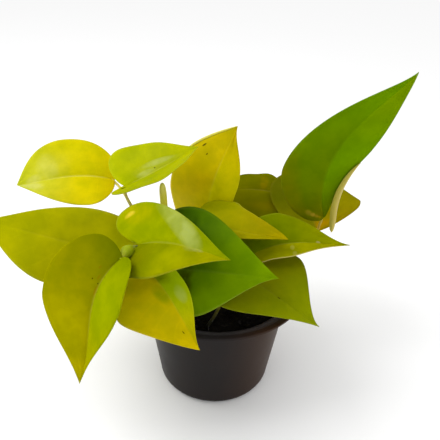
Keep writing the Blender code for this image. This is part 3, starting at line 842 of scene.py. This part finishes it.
class POTHOS_OT_pot(PlantOperator, bpy.types.Operator):
    """Turn the nursery pot and drill its drain holes"""

    bl_idname = "pothos.pot"
    bl_label = "Pot"

    def profile(self):
        """From the outer edge of the underside up the outside, over the lip and down inside to the floor."""
        foot = arc((FOOT_RADIUS - FOOT_ROUND, FOOT_ROUND), FOOT_ROUND, -90, 0, 8)
        outside = flare(12)
        edge = arc((RIM_RADIUS - EDGE_ROUND, POT_HEIGHT - EDGE_ROUND), EDGE_ROUND, 10, 90, 4)
        edge.insert(0, (RIM_RADIUS, POT_HEIGHT - EDGE_TOP))
        lip = arc((RIM_INNER_RADIUS + LIP_INSET, POT_HEIGHT - EDGE_ROUND), EDGE_ROUND, 90, 180, 4)
        inside = [(radius - RIM_WALL[0], height + RIM_WALL[1]) for radius, height in outside[1:-3]]
        neck = (inner_radius(POT_HEIGHT - NECK_DROP), POT_HEIGHT - NECK_DROP)
        return foot + outside + edge + lip + inside[::-1] + [neck] + well(6)

    def execute(self, context):
        settings = context.scene.pothos_pot
        profile = self.profile()
        bpy.ops.mesh.primitive_circle_add(
            vertices=settings.steps, radius=profile[0][0] * MM, fill_type="NGON")
        pot = context.object
        with editing(pot):
            climb(profile)
        tidy(pot, POT_WELD)
        for i in range(DRAIN_HOLES):
            self.drill(pot, 2 * pi * i / DRAIN_HOLES)
        bpy.ops.object.shade_smooth_by_angle(angle=radians(POT_CREASE))
        finished(pot, "pot_shell", self.plastic(settings), "pot")
        return {"FINISHED"}

    def drill(self, pot, turn):
        place = Vector((cos(turn), sin(turn), 0)) * DRAIN_CIRCLE * MM
        bpy.ops.mesh.primitive_cylinder_add(
            vertices=DRAIN_SIDES, radius=DRAIN_RADIUS * MM, depth=3 * FLOOR * MM, location=place)
        drill = bpy.context.object
        modify(pot, "BOOLEAN", operation="DIFFERENCE", solver="EXACT", object=drill)
        bpy.data.objects.remove(drill, do_unlink=True)

    def plastic(self, settings):
        """Satin black-brown plastic with fine grain, faint turning marks, a thin film of dust and a painted
        warm reflection down its right side.
        """
        finish = Finish("pot plastic", Specular_IOR_Level=0.1)
        beside, _, height = finish.split(finish.where)
        cloud = finish.noise(38, 4, 0.6)
        film = cloud.above(0.45, 0.75) * 0.2 + height.above(0.03, 0) * 0.15
        finish.colour = finish.mix(film, settings.colour, settings.dust)
        # Painted reflection: a warm reddish sheen tints the right side of the wall.
        finish.paint(beside.above(0.002, 0.04) * 0.8, settings.sheen)
        dull = settings.roughness + (cloud - 0.5) * 0.16 + film * 0.12
        relief = finish.noise(2600) * 0.5 + finish.streaks(40, 1500) * 0.5
        return finish.done(dull, relief, 0.25, 0.00012)


class POTHOS_OT_soil(PlantOperator, bpy.types.Operator):
    """Fill the pot with crumbly potting soil"""

    bl_idname = "pothos.soil"
    bl_label = "Soil"

    def height(self, x, y, relief):
        """The height of the soil at a place, all in millimetres."""
        reach = hypot(x, y) / inner_radius(SOIL_TOP)
        broad = noise.noise(Vector((x, y, 3)) * 0.09)
        lumps = abs(noise.noise(Vector((x, y, 9)) * 0.35))
        crumbs = abs(noise.noise(Vector((x, y, 21)) * 0.9))
        rough = 0.9 * broad + 1.1 * lumps + 0.7 * crumbs
        return SOIL_TOP + SOIL_MOUND * (1 - reach * reach) + relief * rough

    def execute(self, context):
        settings = context.scene.pothos_soil
        relief = settings.relief / MM
        top_radius = inner_radius(SOIL_TOP) - GAP
        soil = grid(*SOIL_GRID)
        for vertex in soil.data.vertices:
            x, y = vertex.co.x, vertex.co.y
            # Squares of the grid become rings of the disc.
            x, y = x * sqrt(1 - y * y / 2) * top_radius, y * sqrt(1 - x * x / 2) * top_radius
            vertex.co = Vector((x, y, self.height(x, y, relief))) * MM
        with editing(soil):
            bpy.ops.mesh.region_to_loop()
            shoulder = SOIL_TOP - SOIL_SHOULDER
            climb([(top_radius, SOIL_TOP), (inner_radius(shoulder) - GAP, shoulder), *well(4, GAP)])
            bpy.ops.mesh.edge_face_add()
        tidy(soil)
        # The relief at the rim went down the side with the extrusion, so the lowest ring is set level.
        floor = FLOOR + GAP
        for vertex in soil.data.vertices:
            if vertex.co.z < (floor + SOIL_FOOT) * MM:
                vertex.co.z = max(vertex.co.z, floor * MM)
        face_outward(soil)
        join(soil, self.crumbs(settings, relief))
        bpy.ops.object.shade_smooth_by_angle(angle=radians(SOIL_CREASE))
        finished(soil, "soil_bed", self.earth(settings), "soil")
        self.scrap(relief)
        return {"FINISHED"}

    def crumbs(self, settings, relief):
        """One knobbly crumb, copied over the surface in many sizes."""
        bpy.ops.mesh.primitive_ico_sphere_add(subdivisions=2, radius=1)
        crumb = bpy.context.object
        for vertex in crumb.data.vertices:
            vertex.co *= 0.8 + 0.7 * noise.noise(vertex.co * 1.7)
        draw = random.Random(CRUMB_SEED)
        heap = bmesh.new()
        for _ in range(settings.crumbs):
            reach = (inner_radius(SOIL_TOP) - CRUMB_MARGIN) * sqrt(draw.random())
            turn = draw.uniform(0, 2 * pi)
            size = CRUMB_SIZE + CRUMB_SPREAD * draw.random() ** 3
            x, y = reach * cos(turn), reach * sin(turn)
            place = Vector((x, y, self.height(x, y, relief) + 0.15 * size))
            tilt = Matrix.Rotation(draw.uniform(0, 6.28), 4, "Z")
            tilt = tilt @ Matrix.Rotation(draw.uniform(0, 3.14), 4, "X")
            shape = Matrix.Diagonal((size, size * draw.uniform(0.6, 1), size * draw.uniform(0.4, 0.8), 1))
            before = len(heap.verts)
            heap.from_mesh(crumb.data)
            heap.verts.ensure_lookup_table()
            matrix = Matrix.Scale(MM, 4) @ Matrix.Translation(place) @ tilt @ shape
            bmesh.ops.transform(heap, matrix=matrix, verts=heap.verts[before:])
        heap.to_mesh(crumb.data)
        heap.free()
        return crumb

    def scrap(self, relief):
        """The flakes of bark that lie on the soil."""
        draw = random.Random(FLAKE_SEED)
        # Without its seed, vector noise changes from session to session.
        noise.seed_set(FLAKE_SEED)
        finish = Finish("bark flake", Specular_IOR_Level=0.2)
        grain = finish.noise(900, 3)
        finish.colour = finish.mix(grain, (0.006, 0.005, 0.003), (0.02, 0.016, 0.011))
        bark = finish.done(0.8, grain, 0.5, 0.0002)
        for number, (x, y, length, width, turn) in enumerate(FLAKES, 1):
            bpy.ops.mesh.primitive_cube_add(size=1)
            flake = bpy.context.object
            with editing(flake):
                bpy.ops.mesh.subdivide(number_cuts=5)
            for vertex in flake.data.vertices:
                wobble = noise.noise_vector(vertex.co * 3 + Vector((x, y, 0)))
                vertex.co = vertex.co + 0.22 * wobble
                vertex.co.z += 0.5 * vertex.co.x * vertex.co.x
            bed = self.height(x, y, relief) + 0.5
            tilt = Matrix.Rotation(turn, 4, "Z") @ Matrix.Rotation(draw.uniform(-0.2, 0.2), 4, "X")
            flake.matrix_world = (Matrix.Translation(Vector((x, y, bed)) * MM) @ tilt
                                  @ Matrix.Diagonal((length * MM, width * MM, FLAKE_THICKNESS * MM, 1)))
            bpy.ops.object.shade_smooth_by_angle(angle=radians(FLAKE_CREASE))
            finished(flake, f"bark_flake_{number}", bark, "soil")

    def earth(self, settings):
        """Damp black soil with browner fibres and a few grey grains."""
        finish = Finish("potting soil", Specular_IOR_Level=0.08)
        clod = finish.noise(420, 5, 0.7)
        grit = finish.noise(1900, 3, 0.6)
        finish.colour = finish.mix(clod.above(0.4, 0.75), settings.colour, (0.012, 0.008, 0.005))
        finish.paint(grit.above(0.7, 0.78) * 0.4, (0.06, 0.05, 0.04))
        return finish.done(0.95 - clod.above(0.5, 0.7) * 0.3, clod * 0.7 + grit * 0.3, 0.9, 0.0006)


class POTHOS_OT_stems(PlantOperator, bpy.types.Operator):
    """Grow the stems and petioles from the soil to the leaves"""

    bl_idname = "pothos.stems"
    bl_label = "Stems and petioles"

    def execute(self, context):
        settings = context.scene.pothos_stem
        green = self.skin("stem skin", settings.colour, settings.warm)
        young = self.skin("young stem skin", settings.young, settings.colour)
        pale = self.skin("pale stem skin", settings.pale, settings.warm)
        ripe = self.skin("ripe stem skin", settings.warm, settings.ripe)
        # The petioles under the top leaves wear the pale skin, partly painted light against the shade of the
        # blades above.
        skins = {"vine_right": ripe, "vine_left_front": young, "vine_left_back": pale}
        for node, routes in VINES.items():
            vine = join(*[self.tube(route) for route in routes])
            modify(vine, "REMESH", mode="VOXEL", voxel_size=settings.voxel, use_smooth_shade=True)
            modify(vine, "SMOOTH", factor=0.5, iterations=3)
            finished(vine, f"{node}_growth", skins.get(node, green), node)
        return {"FINISHED"}

    def radius(self, route, t, length):
        """The radius along a route: a petiole widens at its sheath and at its knee, a stem at its nodes."""
        radius = route.radius + (route.end_radius - route.radius) * t
        from_end = (1 - t) * length
        if route.joint:
            ripple = 1 + 0.05 * sin(4.2 * from_end)
            radius *= 1 + swelling(from_end, *TIP_SWELLING)
            radius += swelling(from_end - KNEE_PLACE, route.knee, KNEE_LENGTH) * ripple
            if not route.buried:
                radius *= 1 + swelling(t * length, *SHEATH_SWELLING)
        else:
            for node in NODES:
                radius *= 1 + swelling(t * length - node, *NODE_SWELLING)
        return radius

    def tube(self, route):
        """A closed tube along a route. A buried one goes on straight down into the soil."""
        knots = (route.start, route.handle_a, route.handle_b, route.end)
        ends = [Vector(knot) + PLANT_OFFSET for knot in knots]
        points = [curve(*ends, i / TUBE_STEPS) for i in range(TUBE_STEPS + 1)]
        length = sum((b - a).length for a, b in zip(points, points[1:]))
        radii = [self.radius(route, i / TUBE_STEPS, length) for i in range(TUBE_STEPS + 1)]
        if route.buried:
            points.insert(0, Vector((ends[0].x, ends[0].y, SOIL_TOP - BURIED_DEPTH)))
            radii.insert(0, radii[0])
        data = bpy.data.curves.new("stem_line", "CURVE")
        data.dimensions = "3D"
        data.bevel_depth = MM
        data.bevel_resolution = 6
        data.use_fill_caps = True
        line = data.splines.new("POLY")
        line.points.add(len(points) - 1)
        for knot, point, radius in zip(line.points, points, radii):
            knot.co = (*(point * MM), 1)
            knot.radius = radius
        select(added("stem_line", data))
        bpy.ops.object.convert(target="MESH")
        return bpy.context.object

    def skin(self, name, main, patches):
        """Smooth skin in two colours, with lengthwise streaks and small pale dots, and painted shade near
        black down inside the pot.
        """
        finish = Finish(name, Specular_IOR_Level=0.1, **FLESH)
        streak = finish.streaks(900, 60)
        dots = finish.noise(1500, 1).above(0.68, 0.74)
        finish.colour = finish.mix(finish.noise(60, 3).above(0.4, 0.65), main, patches)
        finish.paint(streak * 0.4, (0.16, 0.17, 0.01))
        finish.paint(dots * 0.4, (0.5, 0.45, 0.2))
        _, _, height = finish.split(finish.where)
        # Painted shade: below the pot's rim the stems turn near black, with paler streaks, where the pot
        # shades them.
        painted_shade = finish.mix(streak.above(0.55, 0.62) * 0.5, (0.014, 0.013, 0.009), (0.1, 0.1, 0.08))
        finish.paint(height.above(0.073, 0.062), painted_shade)
        return finish.done(0.4 + streak * 0.15, streak + dots, 0.25, 0.0002)


class POTHOS_OT_rolled_leaf(PlantOperator, bpy.types.Operator):
    """Roll up the new leaf"""

    bl_idname = "pothos.rolled_leaf"
    bl_label = "Rolled leaf"

    def execute(self, context):
        start, end = Vector(ROLLED_START) + PLANT_OFFSET, Vector(ROLLED_END) + PLANT_OFFSET
        axis = (end - start).normalized()
        side = axis.orthogonal().normalized()
        front = axis.cross(side)
        leaf = grid(*ROLLED_GRID)
        for vertex in leaf.data.vertices:
            s, t = (vertex.co.x + 1) / 2, (vertex.co.y + 1) / 2
            girth = ROLLED_RADIUS * sqrt(max(0, 1 - t ** 9)) * (0.92 + 0.08 * sin(pi * t))
            angle = 2 * pi * ROLLED_TURNS * s + 1.1 * t + 2.2
            reach = girth * (0.8 + 0.2 * s)
            out = side * cos(angle) + front * sin(angle)
            vertex.co = (start.lerp(end, t) + out * reach) * MM
        tidy(leaf, SHEET_WELD)
        modify(leaf, "SOLIDIFY", thickness=ROLLED_THICKNESS * MM, offset=-1)
        tidy(leaf)
        bpy.ops.object.shade_smooth()
        finished(leaf, "rolled_leaf_sheet", self.skin(), "leaf_rolled")
        return {"FINISHED"}

    def skin(self):
        """Pale young skin with fine lengthwise streaks."""
        finish = Finish("new leaf", Specular_IOR_Level=0.2, **FLESH)
        lines = finish.streaks(1400, 90)
        _, _, height = finish.split(finish.where)
        finish.colour = finish.mix(height.above(0.112, 0.124), (0.78, 0.7, 0.04), (0.85, 0.78, 0.14))
        finish.paint(lines * 0.25, (0.45, 0.42, 0.02))
        return finish.done(0.42 + lines * 0.1, lines, 0.3, 0.00015)


class POTHOS_OT_blades(PlantOperator, bpy.types.Operator):
    """Shape the heart-shaped blades"""

    bl_idname = "pothos.blades"
    bl_label = "Leaf blades"

    def execute(self, context):
        settings = context.scene.pothos_blade
        for index, (node, (blade, look)) in enumerate(LEAVES.items()):
            leaf = self.shape(settings, TRIMMED.get(node, blade), index)
            finished(leaf, node.replace("leaf_", "blade_"), self.skin(settings, node, look), node)
        return {"FINISHED"}

    def lift(self, settings, blade, s, k, seed):
        """How far a point stands off the blade's smooth form: midrib, side veins and unevenness, in mm."""
        share = abs(s)
        hand = 0 if s >= 0 else 1
        reach = share * blade.half_width[hand]
        rib = -settings.rib_depth / MM * (1 - 0.75 * k) * exp(-(reach / (0.9 - 0.4 * k)) ** 2)
        phase = (k - 0.1 * share) * settings.veins
        swell = sqrt(share) * (1 - share ** 4) * sin(pi * min(1, 1.15 * k))
        veins = settings.quilting / MM * swell * (0.5 - 0.5 * cos(2 * pi * phase))
        spot = Vector((s * 1.6, k * 2.6, 7.3 * seed))
        uneven = settings.unrest / MM * share ** 0.5 * noise.noise(spot * 1.7)
        return (rib + veins + uneven) * min(1, 25 * k, 25 * (1 - k))

    def shape(self, settings, blade, seed):
        """A fine grid bent by the blade's formula, with a wall that thins towards the edge."""
        leaf = grid(2 * settings.half_columns, settings.rows)
        thick = leaf.vertex_groups.new(name="thick")
        for vertex in leaf.data.vertices:
            s, k = round(vertex.co.x, 6), (vertex.co.y + 1) / 2
            lift = self.lift(settings, blade, s, k, seed)
            vertex.co = (blade.place(*blade.flat(s, k), lift) + PLANT_OFFSET) * MM
            edge = max(abs(s), k)
            thin = max(0, (edge - THIN_FROM) / (1 - THIN_FROM)) ** 2
            thick.add([vertex.index], 1 - thin, "REPLACE")
        tidy(leaf, SHEET_WELD)
        face = leaf.data.polygons[len(leaf.data.polygons) // 2]
        if face.normal.dot(blade.place(0, 1, 1) - blade.place(0, 1, 0)) < 0:
            turn_faces(leaf)
        upper = len(leaf.data.vertices)
        modify(leaf, "SOLIDIFY", thickness=settings.thickness, offset=0, vertex_group="thick",
               thickness_vertex_group=settings.margin)
        leaf.vertex_groups.clear()
        bpy.ops.object.shade_smooth()
        under = leaf.data.attributes.new("underside", "FLOAT", "POINT")
        under.data.foreach_set("value", [float(i >= upper) for i in range(len(leaf.data.vertices))])
        return leaf

    def skin(self, settings, node, look):
        """Waxy leaf skin: two halves of graded colours, mottled, with midrib, veins, edge and marks, and
        painted highlights, shadows and light among the patches.
        """
        flesh = FLESH | {"Subsurface_Weight": 0.6, "Subsurface_Scale": 0.0005}
        finish = Finish(f"{node} skin", Specular_IOR_Level=0.4 * look.gloss, Coat_Roughness=0.28,
                        Coat_IOR=1.4, **flesh)
        u, v = finish.unwrapped()
        s = u * 2 - 1
        share = abs(s)
        right = u.above(0.47, 0.53)

        def oval(across, along, width, height):
            """1 in the middle of an oval on the blade, and 0 from its edge on."""
            return (((s - across) / width) ** 2 + ((v - along) / height) ** 2).above(1, 0)

        halves = [finish.mix(v.above(0.5, 0.95), finish.mix(v.above(0.05, 0.55), base, middle), tip)
                  for base, middle, tip in (look.left, look.right)]
        colour = finish.mix(right, *halves)
        fine = finish.noise(650, 3, 0.6)
        light = finish.mix(1, colour, (1.25, 1.2, 1.6), "MULTIPLY")
        dark = finish.mix(1, colour, (0.72, 0.82, 0.7), "MULTIPLY")
        mottled = [finish.mix(look.mottle * 3, colour, tone) for tone in (dark, light)]
        finish.colour = finish.mix(finish.noise(75, 3, 0.55).above(0.3, 0.7), *mottled)
        finish.paint(fine.above(0.35, 0.75) * 0.14, dark)
        blotch = 0.55 + 0.45 * finish.noise(150).above(0.35, 0.65)
        # The patches hold the blade's own marks and also painted highlights, painted shadows and painted
        # light.
        for *place, tint, strength in look.patches:
            finish.paint(oval(*place) * blotch * strength, tint)
        phase = ((v - share * 0.1) * settings.veins).fraction()
        vein = abs(phase - 0.5).above(0.4, 0.5) * share.above(1, 0.75) * v.above(0.03, 0.1)
        finish.paint(vein * 0.1, light)
        rib = share.above(0.045, 0) * v.above(1, 0.6)
        finish.paint(rib * look.rib_strength, look.rib)
        strength = right * look.edge_strength[0] + (1 - right) * look.edge_strength[1]
        finish.paint(share.above(0.93, 0.99) * strength, look.edge)
        for across, along, size in look.spots:
            spread = ((s - across) * 0.5) ** 2 + (v - along) ** 2
            speck = spread.above((1.4 * size) ** 2, (0.5 * size) ** 2)
            finish.paint(speck * 0.9, (0.03, 0.02))
        under = finish.node("ShaderNodeAttribute", {"attribute_name": "underside"}, None, "Fac")
        under = under.above(0.85, 1)
        finish.paint(under * 0.8, finish.mix(0.35, finish.colour, (0.45, 0.48, 0.16)))
        gloss = finish.noise(45).above(0.45, 0.7) * look.gloss
        for *place, weight in look.shine:
            gloss = gloss + oval(*place) * weight
        dull = 0.4 + (fine - 0.5) * 0.12 + under * 0.15
        relief = fine * 0.35 + vein * 0.8 - rib
        return finish.done(dull, relief, 0.22, 0.00018, Coat_Weight=gloss * (1 - under))


class POTHOS_OT_hems(PlantOperator, bpy.types.Operator):
    """Curl the pale margins of two blades forward"""

    bl_idname = "pothos.hems"
    bl_label = "Curled margins"

    def execute(self, context):
        for name, hem in HEMS.items():
            finished(self.strip(hem), name, self.skin(name, hem), hem.node)
        return {"FINISHED"}

    def strip(self, hem):
        """A narrow sheet along the blade's outline that bulges forward, tapered towards both ends."""
        blade = LEAVES[hem.node][0]
        strip = grid(*HEM_GRID)
        way = -1 if hem.hand else 1
        for vertex in strip.data.vertices:
            across, along = (vertex.co.x + 1) / 2, (vertex.co.y + 1) / 2
            k = hem.start + (hem.end - hem.start) * along
            edge = blade.edge(hem.hand, k)
            ahead = blade.edge(hem.hand, min(1, k + 0.002)) - blade.edge(hem.hand, k - 0.002)
            ahead.normalize()
            width = hem.width * max(0.02, sin(pi * along)) ** hem.taper
            inward = Vector((-ahead.y, ahead.x)) * width * across
            lift = HEM_LIFT + hem.rise * across + hem.bulge * width * sin(pi * across)
            point = blade.place(way * max(0.01, edge.x + inward.x), edge.y + inward.y, lift)
            vertex.co = (point + PLANT_OFFSET) * MM
        modify(strip, "SOLIDIFY", thickness=HEM_THICKNESS * MM, offset=0)
        tidy(strip)
        bpy.ops.object.shade_smooth()
        return strip

    def skin(self, name, hem):
        """Waxy pale margin that turns to its inner colour away from the edge."""
        flesh = FLESH | {"Subsurface_Radius": (1, 1, 0.3)}
        finish = Finish(f"{name} skin", Specular_IOR_Level=0.12, **flesh)
        u, _ = finish.unwrapped()
        fine = finish.noise(500, 3)
        finish.colour = finish.mix(u.above(0, 1), hem.colour, hem.inner)
        finish.paint(fine * 0.25, hem.inner)
        return finish.done(0.42 + fine * 0.1, fine, 0.2, 0.0002)


class POTHOS_OT_stage(PlantOperator, bpy.types.Operator):
    """Set the pale floor, the soft light and the camera"""

    bl_idname = "pothos.stage"
    bl_label = "Stage"

    def execute(self, context):
        settings = context.scene.pothos_stage
        bpy.ops.mesh.primitive_plane_add(size=FLOOR_SIZE)
        floor = context.object
        floor.name = "studio_floor"
        finish = Finish("studio floor", Specular_IOR_Level=0, Roughness=0.9)
        finish.feed(Base_Color=finish.mix(finish.noise(3) * 0.1, settings.floor, (1, 1, 1)))
        floor.data.materials.append(finish.material)
        self.light(settings)
        world = bpy.data.worlds.new("studio sky")
        world.use_nodes = True
        sky = world.node_tree.nodes["Background"].inputs
        sky["Color"].default_value = (1, 1, 1, 1)
        sky["Strength"].default_value = settings.sky
        context.scene.world = world
        context.scene.view_settings.view_transform = "Standard"
        context.scene.camera = self.camera(settings)
        return {"FINISHED"}

    def light(self, settings):
        data = bpy.data.lights.new("key light", "AREA")
        data.energy = settings.key
        data.size = KEY_SIZE
        lamp = added("key light", data)
        lamp.location = KEY_PLACE
        lamp.rotation_euler = (Vector(KEY_AIM) - Vector(KEY_PLACE)).to_track_quat("-Z", "Y").to_euler()

    def camera(self, settings):
        data = bpy.data.cameras.new("camera")
        data.sensor_width = SENSOR_WIDTH
        data.lens = settings.focal
        data.clip_start = CLIP_START
        camera = added("camera", data)
        camera.location = CAMERA_PLACE
        tilt = Matrix.Rotation(radians(CAMERA_TILT), 3, "X")
        camera.rotation_euler = (tilt @ Matrix.Rotation(radians(CAMERA_ROLL), 3, "Z")).to_euler()
        return camera


class POTHOS_PT_panel(bpy.types.Panel):
    """The steps that make the plant, in order"""

    bl_idname = "POTHOS_PT_panel"
    bl_label = "Golden pothos"
    bl_space_type = "VIEW_3D"
    bl_region_type = "UI"
    bl_category = "Pothos"

    def draw(self, context):
        for operator in OPERATORS:
            self.layout.operator(operator.bl_idname)
        for name in SETTINGS:
            box = self.layout.box()
            group = getattr(context.scene, name)
            for key in group.__annotations__:
                box.prop(group, key)


OPERATORS = (POTHOS_OT_pot, POTHOS_OT_soil, POTHOS_OT_stems, POTHOS_OT_rolled_leaf, POTHOS_OT_blades,
             POTHOS_OT_hems, POTHOS_OT_stage)
SETTINGS = {
    "pothos_pot": PotSettings,
    "pothos_soil": SoilSettings,
    "pothos_stem": StemSettings,
    "pothos_blade": BladeSettings,
    "pothos_stage": StageSettings,
}
CLASSES = (*SETTINGS.values(), *OPERATORS, POTHOS_PT_panel)


def register():
    for kind in CLASSES:
        bpy.utils.register_class(kind)
    for name, group in SETTINGS.items():
        setattr(bpy.types.Scene, name, PointerProperty(type=group))


def unregister():
    for name in SETTINGS:
        delattr(bpy.types.Scene, name)
    for kind in reversed(CLASSES):
        bpy.utils.unregister_class(kind)


def main():
    register()
    bpy.ops.pothos.pot()
    bpy.ops.pothos.soil()
    bpy.ops.pothos.stems()
    bpy.ops.pothos.rolled_leaf()
    bpy.ops.pothos.blades()
    bpy.ops.pothos.hems()
    bpy.ops.pothos.stage()
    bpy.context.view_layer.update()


if __name__ == "__main__":
    main()
